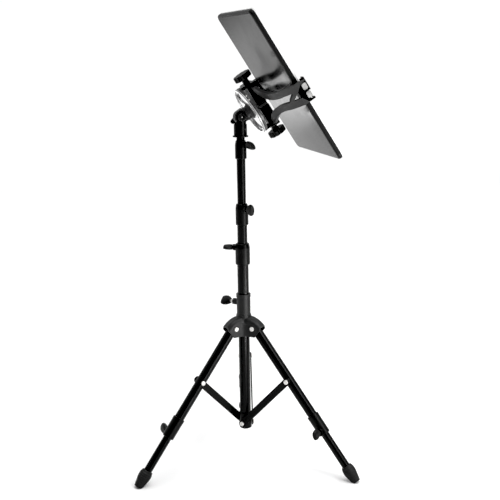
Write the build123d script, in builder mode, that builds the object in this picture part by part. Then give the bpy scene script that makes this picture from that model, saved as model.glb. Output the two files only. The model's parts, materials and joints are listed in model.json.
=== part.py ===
from build123d import *
import os
from math import atan2, cos, degrees, hypot, radians, sin, sqrt, tan

# Folding tripod stand with a telescoping mast and a tilting clamp that grips a flat music panel.
# Millimetres. The mast stands on the Z axis, the floor is Z = 0 and the panel faces -Y.

# Clearances
SLIDE_GAP = 0.06
SEAT_GAP = 0.02
SIDE_GAP = 0.3

# Mast tubes
TOP_OD = 12.6
TUBE_WALL = 1.0
MID_OD = TOP_OD + 2 * (SLIDE_GAP + TUBE_WALL)
MAIN_OD = MID_OD + 2 * (SLIDE_GAP + TUBE_WALL)
MID_SHOWN = 28.0
TOP_SHOWN = 66.5
MID_TAIL = 255.0
TOP_TAIL = 245.0

# Mast collars
COLLAR_LIP = 12.0
LOWER_COLLAR_BASE = 312.3
LOWER_COLLAR_HEIGHT = 32.1
LOWER_COLLAR_WALL = 2.45
UPPER_COLLAR_HEIGHT = 31.5
UPPER_COLLAR_WALL = 2.1
TOP_COLLAR_HEIGHT = 27.0
TOP_COLLAR_WALL = 2.0
COLLAR_TAPER = 1.0
COLLAR_SHOULDER = 7.0
COLLAR_CHAMFER = 0.8
SCREW_BELOW_TOP = 6.5

# Thumb screws
SCREW_OD = 4.6
SCREW_BOSS_OD = 9.6
LOWER_BOSS_REACH = 3.4
UPPER_BOSS_REACH = 5.5
TOP_BOSS_REACH = 2.8
WING_NECK_OD = 8.0
WING_WIDTH = 17.0
WING_THICK = 7.6
WING_LENGTH = 12.5
WING_STANDOFF = 1.4
WING_SWELL_SHARE = 0.6
WING_TIP_SHARE = 0.82
LOWER_SCREW_ANGLE = 62.0
LOWER_WING_TURN = 90.0
UPPER_SCREW_ANGLE = 197.5
UPPER_WING_TURN = 0.0
TOP_SCREW_ANGLE = 209.5
TOP_WING_TURN = 45.0

# Legs
LEG_START_ANGLE = -14.5
LEG_COUNT = 3
LEG_SPREAD = 37.8
LEG_LENGTH = 273.1
PIVOT_RADIUS = 19.0
LOWER_LEG_OD = 12.2
LEG_WALL = 1.15
UPPER_LEG_OD = LOWER_LEG_OD + 2 * (SLIDE_GAP + LEG_WALL)
LEG_PLUG = 20.0
LEG_COLLAR_START = 156.0
LEG_COLLAR_LENGTH = 33.0
LEG_COLLAR_SEAT = 18.0
LEG_COLLAR_WALL = 1.5
LEG_SCREW_AT = 181.5
LEG_WING_WIDTH = 15.5
LEG_WING_LENGTH = 14.0
LEG_WING_TURN = 65.0
LEG_BOSS_REACH = 2.7
LEG_COLLAR_RIM = 0.3
LEG_COLLAR_RIM_LENGTH = 5.0
LOWER_LEG_START = 82.0
HIDDEN_COLLAR_TURN = -90.0

# Feet
FOOT_LENGTH = 28.1
FOOT_OD = 19.0
FOOT_MOUTH_OD = 15.6
FOOT_END_OD = 12.6
FOOT_END_SHORT = 1.1
FOOT_SHOULDER = 5.0
FOOT_STRAIGHT = 6.0
FOOT_SOCKET = 17.0

# Rivets and pins
PIN_OD = 4.0
RIVET_HEAD_OD = 7.0
RIVET_HEAD_HEIGHT = 1.8
PIN_BOSS_OD = 10.0

# Struts and the bracket they stand on
STRUT_WIDTH = 10.8
STRUT_THICK = 2.0
STRUT_ON_LEG = 94.0
STRUT_FOOT_Z = 60.6
BRACKET_BOTTOM = 51.6
BRACKET_FLOOR = 3.0
BRACKET_HEIGHT = 25.0
BRACKET_WALL = 1.0

# Sliding hub
HUB_WALL = 1.9
HUB_ABOVE_PIVOT = 51.0
HUB_BELOW_PIVOT = 13.0
HUB_RIM = 0.55
HUB_RIM_HEIGHT = 4.5
HUB_RING = 1.0
HUB_RING_BASE = 12.5
HUB_RING_HEIGHT = 6.0
HUB_SCREW_BELOW_TOP = 14.0
HUB_BOSS_REACH = 7.0
HUB_WING_STANDOFF = 4.6
HUB_WING_LENGTH = 15.0
HUB_WING_TURN = 52.0
HUB_SCREW_ANGLE = LEG_START_ANGLE + 180.0 / LEG_COUNT
CHEEK = 2.0
HOOD_WALL = 2.0
HOOD_START_RISE = 16.0
HOOD_START_RADIUS = 12.0
HOOD_END_RISE = 4.7
HOOD_END_RADIUS = 31.5
HOOD_END_HEIGHT = 6.6
HOOD_ARCH = 38.0
HOOD_FILLET = 6.0
VALLEY_FILLET = 12.0
VALLEY_RISE = 8.0
VALLEY_CHAMFER = 2.0
SLOT_SIDE_GAP = 0.35
SLOT_START = 0.35

# Head post and tilt joint
SPIGOT_OD = 12.0
SPIGOT_SHOWN = 5.0
POST_OD = 19.0
POST_HEIGHT = 28.8
POST_FLANGE_OD = 22.6
POST_FLANGE_HEIGHT = 1.8
FORK_SLOT = 10.4
FORK_DEPTH = 10.6
EAR_OD = 14.0
EAR_SHOULDER = 10.6
TONGUE_WIDTH = 10.0
TONGUE_OD = 19.4
TILT_PIN_OD = 6.0
TILT_HEAD_OD = 12.0
TILT_HEAD_HEIGHT = 3.6
TILT_NUT_OD = 11.0
TILT_WING_SPAN = 28.0
TILT_WING_HEIGHT = 7.0
TILT_WING_THICK = 3.6
TILT_WING_ANGLE = 135.0
PANEL_LEAN = 32.5

# Neck and turning disc, measured forward from the tilt pin
NECK_OD = 20.0
NECK_START = 7.8
NECK_FLARE_OD = 25.0
NECK_FLARE_AT = 13.5
NECK_DROP = 1.5
TURN_PIN_OD = 8.0
TURN_NUT_OD = 15.0
TURN_NUT_HEIGHT = 3.2
DISC_BACK = 17.6
DISC_OD = 73.0
DISC_THICK = 3.5
DISC_RIM = 2.6
DISC_RIM_DEPTH = 6.4
DISC_GROOVE = 0.8
DISC_GROOVE_WIDTH = 1.6
DISC_WINDOW_LENGTH = 52.0
DISC_WINDOW_WIDTH = 21.0
DISC_WINDOW_OUT = 20.0

# Clamp block
BLOCK_BACK = 27.0
BLOCK_THICK = 15.0
BLOCK_LENGTH = 71.0
BLOCK_WIDTH = 36.0
RAIL_THICK = 4.0
BLOCK_FILLET = 2.0
LUG_LENGTH = 4.5
LUG_WIDTH = 14.0

# Clamp knobs
KNOB_OD = 26.6
KNOB_THICK = 8.0
KNOB_FLUTES = 10
KNOB_FLUTE_OD = 4.6
KNOB_STEM_OD = 9.6
KNOB_STEM_LENGTH = 8.0
KNOB_STUD_OD = 6.0
KNOB_STUD_LENGTH = 4.0
KNOB_FILLET = 1.2

# Panel
PANEL_LENGTH = 241.0
PANEL_WIDTH = 186.0
PANEL_SHELL_THICK = 6.4
PANEL_FACE_THICK = 2.2
PANEL_CORNER = 9.0
PANEL_BACK_FILLET = 4.0
PANEL_RAISE = 8.4
PANEL_BACK = 68.8

# Jaws
TONGUE_OUT = 26.5
TONGUE_HEIGHT = 9.0
TONGUE_GAP = 4.0
ARM_THICK = 4.6
ARM_WIDTH = 10.4
ARM_MID_REACH = 62.0
ARM_MID_RISE = 11.0
ARM_BEND_REACH = 41.0
ARM_BEND_OUT = 15.8
ARM_WAIST_REACH = 80.0
ARM_WAIST_OUT = 10.4
WEB_BACK = 64.5
WEB_FRONT = 72.8
WEB_LOW_OUT = 7.0
WEB_LOW_BACK = 52.5
WEB_LOW_WIDTH = 3.0
TIP_SHOULDER = 73.0
TIP_END = 82.2
TIP_OUT = 13.3
TIP_WIDTH = 1.2
HOOK_LENGTH = 33.6
HOOK_WALL = 2.2
HOOK_LIP = 10.0
HOOK_BACK_LIP = 12.0
HOOK_TOP_DROP = 1.4
FINGER_WIDTH = 2.5
FINGER_LENGTH = 7.0
LIP_THICK = 1.6
LIP_GAP = 5.4
LIP_END = -2.9
LIP_ROOT = 12.6
PAD_LENGTH = 9.0
PAD_HEIGHT = 7.0
PAD_THICK = 2.6
PAD_PITCH = 12.6
PAD_MIDDLE = -1.3
PAD_PROUD = 0.9
PAD_LIP_GAP = 0.4

# Heights that follow from the sizes above
PIVOT_Z = LEG_LENGTH * cos(radians(LEG_SPREAD))
HUB_TOP = PIVOT_Z + HUB_ABOVE_PIVOT
HUB_BOTTOM = PIVOT_Z - HUB_BELOW_PIVOT
LOWER_COLLAR_TOP = LOWER_COLLAR_BASE + LOWER_COLLAR_HEIGHT
UPPER_COLLAR_BASE = LOWER_COLLAR_TOP + MID_SHOWN
UPPER_COLLAR_TOP = UPPER_COLLAR_BASE + UPPER_COLLAR_HEIGHT
TOP_COLLAR_BASE = UPPER_COLLAR_TOP + TOP_SHOWN
TOP_COLLAR_TOP = TOP_COLLAR_BASE + TOP_COLLAR_HEIGHT
POST_BASE = TOP_COLLAR_TOP + SPIGOT_SHOWN
TILT_Z = POST_BASE + POST_HEIGHT
MAIN_BOTTOM = BRACKET_BOTTOM + BRACKET_FLOOR

# Radii that follow from the sizes above
HUB_BORE = MAIN_OD / 2 + SLIDE_GAP
HUB_RADIUS = HUB_BORE + HUB_WALL
BRACKET_RADIUS = MAIN_OD / 2 + SEAT_GAP + BRACKET_WALL
LOWER_COLLAR_RADIUS = MAIN_OD / 2 + SEAT_GAP + LOWER_COLLAR_WALL
UPPER_COLLAR_RADIUS = MID_OD / 2 + SEAT_GAP + UPPER_COLLAR_WALL
TOP_COLLAR_RADIUS = TOP_OD / 2 + SEAT_GAP + TOP_COLLAR_WALL
LEG_COLLAR_RADIUS = UPPER_LEG_OD / 2 + SEAT_GAP + LEG_COLLAR_WALL
STRUT_INNER = BRACKET_RADIUS + SIDE_GAP
STRUT_OUTER = STRUT_INNER + STRUT_THICK
HUB_SLOT = UPPER_LEG_OD + 2 * SLOT_SIDE_GAP
HUB_ARM = HUB_SLOT + 2 * CHEEK

# Places along the clamp, measured forward from the tilt pin
DISC_FRONT = DISC_BACK + DISC_THICK
TONGUE_FORWARD = BLOCK_BACK + BLOCK_THICK / 2
PANEL_SEAM = PANEL_BACK + PANEL_SHELL_THICK
PANEL_FRONT = PANEL_SEAM + PANEL_FACE_THICK
PANEL_EDGE = PANEL_WIDTH / 2
PAD_INNER = PANEL_EDGE + SIDE_GAP
HOOK_INNER = PAD_INNER + PAD_THICK
HOOK_OUTER = HOOK_INNER + HOOK_WALL
HOOK_FRONT_FACE = PANEL_BACK - SIDE_GAP
HOOK_BACK_FACE = HOOK_FRONT_FACE - HOOK_WALL
LIP_BACK_FACE = PANEL_FRONT + LIP_GAP
LIP_FRONT_FACE = LIP_BACK_FACE + LIP_THICK
PAD_FORWARD = LIP_BACK_FACE - PAD_LIP_GAP - PAD_HEIGHT / 2
ARM_END_REACH = HOOK_OUTER + SEAT_GAP + ARM_THICK / 2

LEG_ANGLES = [LEG_START_ANGLE + 360.0 / LEG_COUNT * number for number in range(LEG_COUNT)]

# A leg at angle 0 runs down along this plane's Z, with the plane's X pointing to the strut's side
LEG_PLANE = Plane(
    origin=(PIVOT_RADIUS, 0, PIVOT_Z),
    x_dir=(0, -1, 0),
    z_dir=(sin(radians(LEG_SPREAD)), 0, -cos(radians(LEG_SPREAD))),
)
LEG_AXIS = Axis(LEG_PLANE.origin, LEG_PLANE.z_dir)

# The head's directions: along the tilt pin, up the panel and forward through the panel
ACROSS = Vector(1, 0, 0)
FORWARD = Vector(0, -cos(radians(PANEL_LEAN)), sin(radians(PANEL_LEAN)))
UP_PANEL = Vector(0, sin(radians(PANEL_LEAN)), cos(radians(PANEL_LEAN)))
TILT_CENTRE = Vector(0, 0, TILT_Z)
CLAMP_CENTRE = TILT_CENTRE - UP_PANEL * NECK_DROP
PANEL_CENTRE = CLAMP_CENTRE + UP_PANEL * PANEL_RAISE

# CLAMP_PLANE looks forward, SIDE_PLANE along the tilt pin, ARM_PLANE down and EDGE_PLANE across
CLAMP_PLANE = Plane(origin=CLAMP_CENTRE, x_dir=ACROSS, z_dir=FORWARD)
PANEL_PLANE = Plane(origin=PANEL_CENTRE, x_dir=ACROSS, z_dir=FORWARD)
SIDE_PLANE = Plane(origin=TILT_CENTRE, x_dir=FORWARD, z_dir=ACROSS)
ARM_PLANE = Plane(origin=CLAMP_CENTRE, x_dir=ACROSS, z_dir=-UP_PANEL)
EDGE_PLANE = Plane(origin=CLAMP_CENTRE, x_dir=UP_PANEL, z_dir=ACROSS)
CLAMP_MIDDLE = Plane(origin=CLAMP_CENTRE, x_dir=ACROSS, z_dir=UP_PANEL)

os.makedirs("parts", exist_ok=True)


def save(part, name):
    part.label = name
    export_step(part, f"parts/{name}.step")


def save_on_legs(part, name, first_turn=0.0):
    for number, angle in enumerate(LEG_ANGLES, 1):
        turn = first_turn if number == 1 else 0.0
        save(part.rotate(LEG_AXIS, turn).rotate(Axis.Z, angle), f"{name}_{number}")


def tube(od, bottom, top):
    with BuildPart() as piece:
        with BuildSketch(Plane.XY.offset(bottom)):
            Circle(od / 2)
            Circle(od / 2 - TUBE_WALL, mode=Mode.SUBTRACT)
        extrude(amount=top - bottom)
    return piece.part


# A clamp collar seated on the tube below it, with a bored lip above and a boss for its screw
def mast_collar(base, top, radius, seat_od, bore_od, boss_end, angle):
    screw_z = top - SCREW_BELOW_TOP
    with BuildPart() as piece:
        with BuildSketch(Plane.XZ):
            with BuildLine():
                Polyline(
                    (0, base),
                    (radius - COLLAR_CHAMFER, base),
                    (radius, base + COLLAR_CHAMFER),
                    (radius, top - COLLAR_SHOULDER),
                    (radius - COLLAR_TAPER, top - COLLAR_CHAMFER),
                    (radius - COLLAR_TAPER - COLLAR_CHAMFER, top),
                    (0, top),
                    close=True,
                )
            make_face()
        revolve(axis=Axis.Z)
        with BuildSketch(Plane.YZ):
            with Locations((0, screw_z)):
                Circle(SCREW_BOSS_OD / 2)
        extrude(amount=boss_end)
        with BuildSketch(Plane.XY.offset(base)):
            Circle(seat_od / 2 + SEAT_GAP)
        extrude(amount=top - COLLAR_LIP - base, mode=Mode.SUBTRACT)
        with BuildSketch(Plane.XY.offset(base)):
            Circle(bore_od / 2 + SLIDE_GAP)
        extrude(amount=top - base, mode=Mode.SUBTRACT)
        with BuildSketch(Plane.YZ):
            with Locations((0, screw_z)):
                Circle(SCREW_OD / 2 + SLIDE_GAP)
        extrude(amount=boss_end, mode=Mode.SUBTRACT)
    return piece.part.rotate(Axis.Z, angle)


# A screw along the plane's Z with a wing head, its wing turned about the screw
def wing_screw(plane, tip, head, width, length, turn):
    with BuildPart() as piece:
        with BuildSketch(plane.offset(tip)):
            Circle(SCREW_OD / 2)
        extrude(amount=head - tip)
        with BuildSketch(plane.offset(head)):
            Circle(WING_NECK_OD / 2)
        with BuildSketch(plane.offset(head + length * WING_SWELL_SHARE)):
            Ellipse(WING_THICK / 2, width / 2, rotation=turn)
        with BuildSketch(plane.offset(head + length)):
            Ellipse(WING_THICK / 2 * WING_TIP_SHARE, width / 2 * WING_TIP_SHARE, rotation=turn)
        loft()
    return piece.part


# A wing screw that points at the mast from outside, at a height and an angle round the mast
def mast_screw(screw_z, inner_od, head, length, turn, angle):
    plane = Plane(origin=(0, 0, screw_z), x_dir=(0, 1, 0), z_dir=(1, 0, 0))
    screw = wing_screw(plane, inner_od / 2 + SIDE_GAP, head, WING_WIDTH, length, turn)
    return screw.rotate(Axis.Z, angle)


# A domed rivet along the plane's Z, from its tail to the seat under its head
def rivet(plane, tail, seat):
    with BuildPart() as piece:
        with BuildSketch(plane.offset(tail)):
            Circle(PIN_OD / 2)
        extrude(amount=seat - tail)
        with BuildSketch(plane.offset(seat)):
            Circle(RIVET_HEAD_OD / 2)
        extrude(amount=RIVET_HEAD_HEIGHT)
        fillet(piece.faces().sort_by(Axis(plane.origin, plane.z_dir))[-1].edges(), RIVET_HEAD_HEIGHT * 0.6)
    return piece.part


# Mast tubes
save(tube(MAIN_OD, MAIN_BOTTOM, LOWER_COLLAR_TOP - COLLAR_LIP), "main_tube")
save(tube(MID_OD, LOWER_COLLAR_TOP - MID_TAIL, UPPER_COLLAR_TOP - COLLAR_LIP), "mid_tube")
save(tube(TOP_OD, UPPER_COLLAR_TOP - TOP_TAIL, TOP_COLLAR_TOP - COLLAR_LIP), "top_tube")

# Lower collar on the main tube, holding the middle tube
LOWER_BOSS_END = LOWER_COLLAR_RADIUS + LOWER_BOSS_REACH
LOWER_SCREW_Z = LOWER_COLLAR_TOP - SCREW_BELOW_TOP
LOWER_SCREW_HEAD = LOWER_BOSS_END + WING_STANDOFF
lower_collar = mast_collar(
    LOWER_COLLAR_BASE,
    LOWER_COLLAR_TOP,
    LOWER_COLLAR_RADIUS,
    MAIN_OD,
    MID_OD,
    LOWER_BOSS_END,
    LOWER_SCREW_ANGLE,
)
save(lower_collar, "lower_collar")
lower_collar_screw = mast_screw(
    LOWER_SCREW_Z, MID_OD, LOWER_SCREW_HEAD, WING_LENGTH, LOWER_WING_TURN, LOWER_SCREW_ANGLE
)
save(lower_collar_screw, "lower_collar_screw")

# Upper collar on the middle tube, holding the top tube
UPPER_BOSS_END = UPPER_COLLAR_RADIUS + UPPER_BOSS_REACH
UPPER_SCREW_Z = UPPER_COLLAR_TOP - SCREW_BELOW_TOP
UPPER_SCREW_HEAD = UPPER_BOSS_END + WING_STANDOFF
upper_collar = mast_collar(
    UPPER_COLLAR_BASE,
    UPPER_COLLAR_TOP,
    UPPER_COLLAR_RADIUS,
    MID_OD,
    TOP_OD,
    UPPER_BOSS_END,
    UPPER_SCREW_ANGLE,
)
save(upper_collar, "upper_collar")
upper_collar_screw = mast_screw(
    UPPER_SCREW_Z, TOP_OD, UPPER_SCREW_HEAD, WING_LENGTH, UPPER_WING_TURN, UPPER_SCREW_ANGLE
)
save(upper_collar_screw, "upper_collar_screw")

# Top collar on the top tube, holding the spigot of the head
TOP_BOSS_END = TOP_COLLAR_RADIUS + TOP_BOSS_REACH
TOP_SCREW_Z = TOP_COLLAR_TOP - SCREW_BELOW_TOP
TOP_SCREW_HEAD = TOP_BOSS_END + WING_STANDOFF
top_collar = mast_collar(
    TOP_COLLAR_BASE,
    TOP_COLLAR_TOP,
    TOP_COLLAR_RADIUS,
    TOP_OD,
    SPIGOT_OD,
    TOP_BOSS_END,
    TOP_SCREW_ANGLE,
)
save(top_collar, "top_collar")
top_collar_screw = mast_screw(
    TOP_SCREW_Z, SPIGOT_OD, TOP_SCREW_HEAD, WING_LENGTH, TOP_WING_TURN, TOP_SCREW_ANGLE
)
save(top_collar_screw, "top_collar_screw")

# A pin boss beside the bracket for one strut, and the rivet that holds the strut on it
FOOT_PIN_PLANE = Plane(origin=(0, 0, STRUT_FOOT_Z), x_dir=(1, 0, 0), z_dir=(0, -1, 0))
with BuildPart() as strut_boss:
    with BuildSketch(FOOT_PIN_PLANE):
        Circle(PIN_BOSS_OD / 2)
    extrude(amount=BRACKET_RADIUS)
with BuildPart() as strut_boss_hole:
    with BuildSketch(FOOT_PIN_PLANE):
        Circle(PIN_OD / 2 + SEAT_GAP)
    extrude(amount=STRUT_OUTER)
bracket_rivet = rivet(FOOT_PIN_PLANE, MAIN_OD / 2 + SEAT_GAP, STRUT_OUTER + SLIDE_GAP)

# Bottom bracket: a closed cap on the foot of the main tube
with BuildPart() as bottom_bracket:
    with BuildSketch(Plane.XY.offset(BRACKET_BOTTOM)):
        Circle(BRACKET_RADIUS)
    extrude(amount=BRACKET_HEIGHT)
    chamfer(bottom_bracket.edges().group_by(Axis.Z)[0], BRACKET_WALL)
    for angle in LEG_ANGLES:
        add(strut_boss.part.rotate(Axis.Z, angle))
    with BuildSketch(Plane.XY.offset(MAIN_BOTTOM)):
        Circle(MAIN_OD / 2 + SEAT_GAP)
    extrude(amount=BRACKET_HEIGHT, mode=Mode.SUBTRACT)
    for angle in LEG_ANGLES:
        add(strut_boss_hole.part.rotate(Axis.Z, angle), mode=Mode.SUBTRACT)
save(bottom_bracket.part, "bottom_bracket")

with BuildPart() as bracket_rivets:
    for angle in LEG_ANGLES:
        add(bracket_rivet.rotate(Axis.Z, angle))
save(bracket_rivets.part, "bracket_rivets")

# One arm of the hub: two cheeks under an arched, rounded hood
HOOD_RUN = HOOD_END_RADIUS - HOOD_START_RADIUS
HOOD_FALL = HOOD_START_RISE - HOOD_END_RISE
HOOD_CHORD = hypot(HOOD_RUN, HOOD_FALL)
HOOD_SAG = sqrt(HOOD_ARCH**2 - HOOD_CHORD**2 / 4)
HOOD_CENTRE = (
    (HOOD_START_RADIUS + HOOD_END_RADIUS) / 2 - HOOD_SAG * HOOD_FALL / HOOD_CHORD,
    PIVOT_Z + (HOOD_START_RISE + HOOD_END_RISE) / 2 - HOOD_SAG * HOOD_RUN / HOOD_CHORD,
)
PIVOT_PLANE = Plane(origin=(PIVOT_RADIUS, 0, PIVOT_Z), x_dir=(1, 0, 0), z_dir=(0, -1, 0))


# A wheel with a rounded rim, whose upper right quarter is the arch of the hood
def hood_wheel(radius, width, rim):
    with BuildPart() as piece:
        with BuildSketch(Plane.XZ):
            with Locations(HOOD_CENTRE):
                Circle(radius)
        extrude(amount=width / 2, both=True)
        fillet(piece.edges().filter_by(GeomType.CIRCLE), rim)
    return piece.part


with BuildPart() as hub_arm:
    with BuildSketch(Plane.XZ):
        with BuildLine():
            Polyline(
                (0, HUB_BOTTOM),
                (0, PIVOT_Z + HOOD_START_RISE),
                (HOOD_END_RADIUS, PIVOT_Z + HOOD_START_RISE),
                (HOOD_END_RADIUS, PIVOT_Z + HOOD_END_RISE - HOOD_END_HEIGHT),
                (PIVOT_RADIUS + PIN_OD, HUB_BOTTOM),
                close=True,
            )
        make_face()
    extrude(amount=HUB_ARM / 2, both=True)
    add(hood_wheel(HOOD_ARCH, HUB_ARM, HOOD_FILLET), mode=Mode.INTERSECT)

with BuildPart() as hub_slot:
    with BuildSketch(Plane.XZ):
        with Locations((HUB_RADIUS + SLOT_START + HOOD_ARCH, HOOD_CENTRE[1])):
            Rectangle(2 * HOOD_ARCH, 2 * HOOD_ARCH)
    extrude(amount=HUB_SLOT / 2, both=True)
    add(hood_wheel(HOOD_ARCH - HOOD_WALL, HUB_SLOT, HOOD_FILLET - HOOD_WALL), mode=Mode.INTERSECT)
    with BuildSketch(PIVOT_PLANE):
        Circle(PIN_OD / 2 + SEAT_GAP)
    extrude(amount=HUB_ARM, both=True)

HUB_SCREW_Z = HUB_TOP - HUB_SCREW_BELOW_TOP
HUB_BOSS_END = HUB_RADIUS + HUB_BOSS_REACH
with BuildPart() as hub_boss:
    with BuildSketch(Plane.YZ):
        with Locations((0, HUB_SCREW_Z)):
            Circle(SCREW_BOSS_OD / 2)
    extrude(amount=HUB_BOSS_END)
with BuildPart() as hub_boss_hole:
    with BuildSketch(Plane.YZ):
        with Locations((0, HUB_SCREW_Z)):
            Circle(SCREW_OD / 2 + SLIDE_GAP)
    extrude(amount=HUB_BOSS_END)

# A hollowed web that fills the valley between two arms of the hub
VALLEY_HALF = radians(180.0 / LEG_COUNT)
VALLEY_CREASE = HUB_ARM / 2 / sin(VALLEY_HALF)
VALLEY_TANGENT = VALLEY_FILLET / tan(VALLEY_HALF)
VALLEY_SIDE = (VALLEY_CREASE + VALLEY_TANGENT * cos(VALLEY_HALF), VALLEY_TANGENT * sin(VALLEY_HALF))
VALLEY_FRONT = VALLEY_CREASE + VALLEY_FILLET / sin(VALLEY_HALF) - VALLEY_FILLET
with BuildPart() as hub_valley:
    with BuildSketch(Plane.XY.offset(HUB_BOTTOM)):
        with BuildLine():
            ThreePointArc((VALLEY_SIDE[0], -VALLEY_SIDE[1]), (VALLEY_FRONT, 0), VALLEY_SIDE)
            Polyline(VALLEY_SIDE, (0, 0), (VALLEY_SIDE[0], -VALLEY_SIDE[1]))
        make_face()
    extrude(amount=HUB_BELOW_PIVOT + VALLEY_RISE)
    chamfer(hub_valley.edges().filter_by(GeomType.CIRCLE).sort_by(Axis.Z)[-1], VALLEY_CHAMFER)

# Sliding hub: a sleeve on the main tube with a rim, a ring, a screw boss, arms and webs
with BuildPart() as leg_hub:
    with BuildSketch(Plane.XY.offset(HUB_BOTTOM)):
        Circle(HUB_RADIUS)
    extrude(amount=HUB_TOP - HUB_BOTTOM)
    with BuildSketch(Plane.XY.offset(HUB_TOP - HUB_RIM_HEIGHT)):
        Circle(HUB_RADIUS + HUB_RIM)
    extrude(amount=HUB_RIM_HEIGHT)
    with BuildSketch(Plane.XY.offset(PIVOT_Z + HUB_RING_BASE)):
        Circle(HUB_RADIUS + HUB_RING)
    extrude(amount=HUB_RING_HEIGHT)
    for angle in LEG_ANGLES:
        add(hub_arm.part.rotate(Axis.Z, angle))
        add(hub_valley.part.rotate(Axis.Z, angle + 180.0 / LEG_COUNT))
    add(hub_boss.part.rotate(Axis.Z, HUB_SCREW_ANGLE))
    for angle in LEG_ANGLES:
        add(hub_slot.part.rotate(Axis.Z, angle), mode=Mode.SUBTRACT)
    with BuildSketch(Plane.XY.offset(HUB_BOTTOM)):
        Circle(HUB_BORE)
    extrude(amount=HUB_TOP - HUB_BOTTOM, mode=Mode.SUBTRACT)
    add(hub_boss_hole.part.rotate(Axis.Z, HUB_SCREW_ANGLE), mode=Mode.SUBTRACT)
save(leg_hub.part, "leg_hub")

HUB_SCREW_HEAD = HUB_BOSS_END + HUB_WING_STANDOFF
hub_screw = mast_screw(
    HUB_SCREW_Z, MAIN_OD, HUB_SCREW_HEAD, HUB_WING_LENGTH, HUB_WING_TURN, HUB_SCREW_ANGLE
)
save(hub_screw, "hub_screw")

# Hinge pins of the legs, headed on both sides of the cheeks
with BuildPart() as hinge_pin:
    add(rivet(PIVOT_PLANE, 0, HUB_ARM / 2 + SEAT_GAP))
    mirror(about=Plane.XZ)
with BuildPart() as hub_rivets:
    for angle in LEG_ANGLES:
        add(hinge_pin.part.rotate(Axis.Z, angle))
save(hub_rivets.part, "hub_rivets")

# Upper leg: a tube with a solid round top on the hinge pin and a boss for the strut
STRUT_ON_LEG_PLANE = Plane(
    origin=LEG_PLANE.from_local_coords((0, 0, STRUT_ON_LEG)), x_dir=LEG_PLANE.z_dir, z_dir=LEG_PLANE.x_dir
)
UPPER_LEG_END = LEG_COLLAR_START + LEG_COLLAR_SEAT
LEG_BOSS_TOP = STRUT_INNER - SIDE_GAP
LEG_RIVET_SEAT = UPPER_LEG_OD / 2 + SIDE_GAP
with BuildPart() as upper_leg:
    with BuildSketch(LEG_PLANE):
        Circle(UPPER_LEG_OD / 2)
    extrude(amount=UPPER_LEG_END)
    with Locations(LEG_PLANE):
        Sphere(UPPER_LEG_OD / 2)
    with BuildSketch(STRUT_ON_LEG_PLANE):
        Circle(PIN_BOSS_OD / 2)
    extrude(amount=LEG_BOSS_TOP)
    with BuildSketch(STRUT_ON_LEG_PLANE):
        Circle(RIVET_HEAD_OD / 2)
    extrude(amount=-LEG_RIVET_SEAT)
    with BuildSketch(LEG_PLANE.offset(LEG_PLUG)):
        Circle(UPPER_LEG_OD / 2 - LEG_WALL)
    extrude(amount=UPPER_LEG_END - LEG_PLUG, mode=Mode.SUBTRACT)
    with BuildSketch(PIVOT_PLANE):
        Circle(PIN_OD / 2 + SLIDE_GAP)
    extrude(amount=UPPER_LEG_OD, both=True, mode=Mode.SUBTRACT)
    with BuildSketch(STRUT_ON_LEG_PLANE):
        Circle(PIN_OD / 2 + SEAT_GAP)
    extrude(amount=-UPPER_LEG_OD, mode=Mode.SUBTRACT)
save_on_legs(upper_leg.part, "upper_leg")

# Rivet head on the far side of the leg from the strut
LEG_RIVET_PLANE = Plane(
    origin=STRUT_ON_LEG_PLANE.origin, x_dir=STRUT_ON_LEG_PLANE.x_dir, z_dir=-STRUT_ON_LEG_PLANE.z_dir
)
save_on_legs(rivet(LEG_RIVET_PLANE, LOWER_LEG_OD / 2 + SIDE_GAP, LEG_RIVET_SEAT), "leg_rivet")

# Collar at the foot of the upper leg, with a screw that pinches the lower leg
LEG_SCREW_PLANE = Plane(
    origin=LEG_PLANE.from_local_coords((0, 0, LEG_SCREW_AT)), x_dir=LEG_PLANE.z_dir, z_dir=LEG_PLANE.x_dir
)
LEG_BOSS_END = LEG_COLLAR_RADIUS + LEG_BOSS_REACH
with BuildPart() as leg_collar:
    with BuildSketch(LEG_PLANE.offset(LEG_COLLAR_START)):
        Circle(LEG_COLLAR_RADIUS)
    extrude(amount=LEG_COLLAR_LENGTH)
    chamfer(leg_collar.edges().sort_by(LEG_AXIS)[-1], COLLAR_TAPER)
    with BuildSketch(LEG_PLANE.offset(LEG_COLLAR_START)):
        Circle(LEG_COLLAR_RADIUS + LEG_COLLAR_RIM)
    extrude(amount=LEG_COLLAR_RIM_LENGTH)
    with BuildSketch(LEG_SCREW_PLANE):
        Circle(SCREW_BOSS_OD / 2)
    extrude(amount=LEG_BOSS_END)
    with BuildSketch(LEG_PLANE.offset(LEG_COLLAR_START)):
        Circle(UPPER_LEG_OD / 2 + SEAT_GAP)
    extrude(amount=LEG_COLLAR_SEAT, mode=Mode.SUBTRACT)
    with BuildSketch(LEG_PLANE.offset(LEG_COLLAR_START)):
        Circle(LOWER_LEG_OD / 2 + SLIDE_GAP)
    extrude(amount=LEG_COLLAR_LENGTH, mode=Mode.SUBTRACT)
    with BuildSketch(LEG_SCREW_PLANE):
        Circle(SCREW_OD / 2 + SLIDE_GAP)
    extrude(amount=LEG_BOSS_END, mode=Mode.SUBTRACT)
save_on_legs(leg_collar.part, "leg_collar", HIDDEN_COLLAR_TURN)

LEG_SCREW_TIP = LOWER_LEG_OD / 2 + SIDE_GAP
LEG_SCREW_HEAD = LEG_BOSS_END + WING_STANDOFF
leg_screw = wing_screw(
    LEG_SCREW_PLANE, LEG_SCREW_TIP, LEG_SCREW_HEAD, LEG_WING_WIDTH, LEG_WING_LENGTH, LEG_WING_TURN
)
save_on_legs(leg_screw, "leg_screw", HIDDEN_COLLAR_TURN)

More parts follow.
